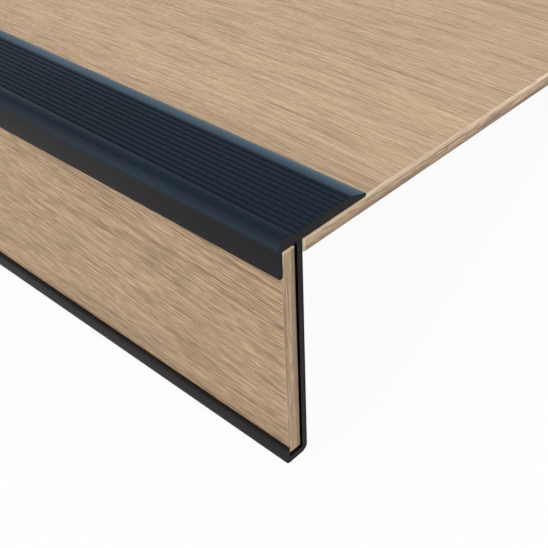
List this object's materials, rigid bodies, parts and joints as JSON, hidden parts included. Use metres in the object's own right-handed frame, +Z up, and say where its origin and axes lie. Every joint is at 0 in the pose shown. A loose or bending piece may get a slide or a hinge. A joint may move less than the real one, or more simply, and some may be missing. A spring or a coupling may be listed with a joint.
{
  "type": "stair tread with nosing",
  "caption": "Finished stair step: wood-look tread and riser planks joined by a black extruded nosing with a ribbed top, a tapered wing and a hooked foot.",
  "frame": {"origin": "on the floor below the middle of the step's box, as it rests unheld on the heel of the nosing's hook and the rear edge of the tread plank", "axes": "+X along the nosing towards its right end, seen from the front; +Y towards the rear edge of the tread plank; +Z up from the floor. The tread slopes down to the back by 21.43 degrees."},
  "size_m": [1, 0.322, 0.119],
  "materials": {
    "black_anodised": "satin",
    "oak_tread": "matte",
    "oak_riser": "matte"
  },
  "bodies": {
    "root": {"nosing_profile": "black_anodised", "tread_plank": "oak_tread", "riser_plank": "oak_riser"}
  },
  "joints": []
}
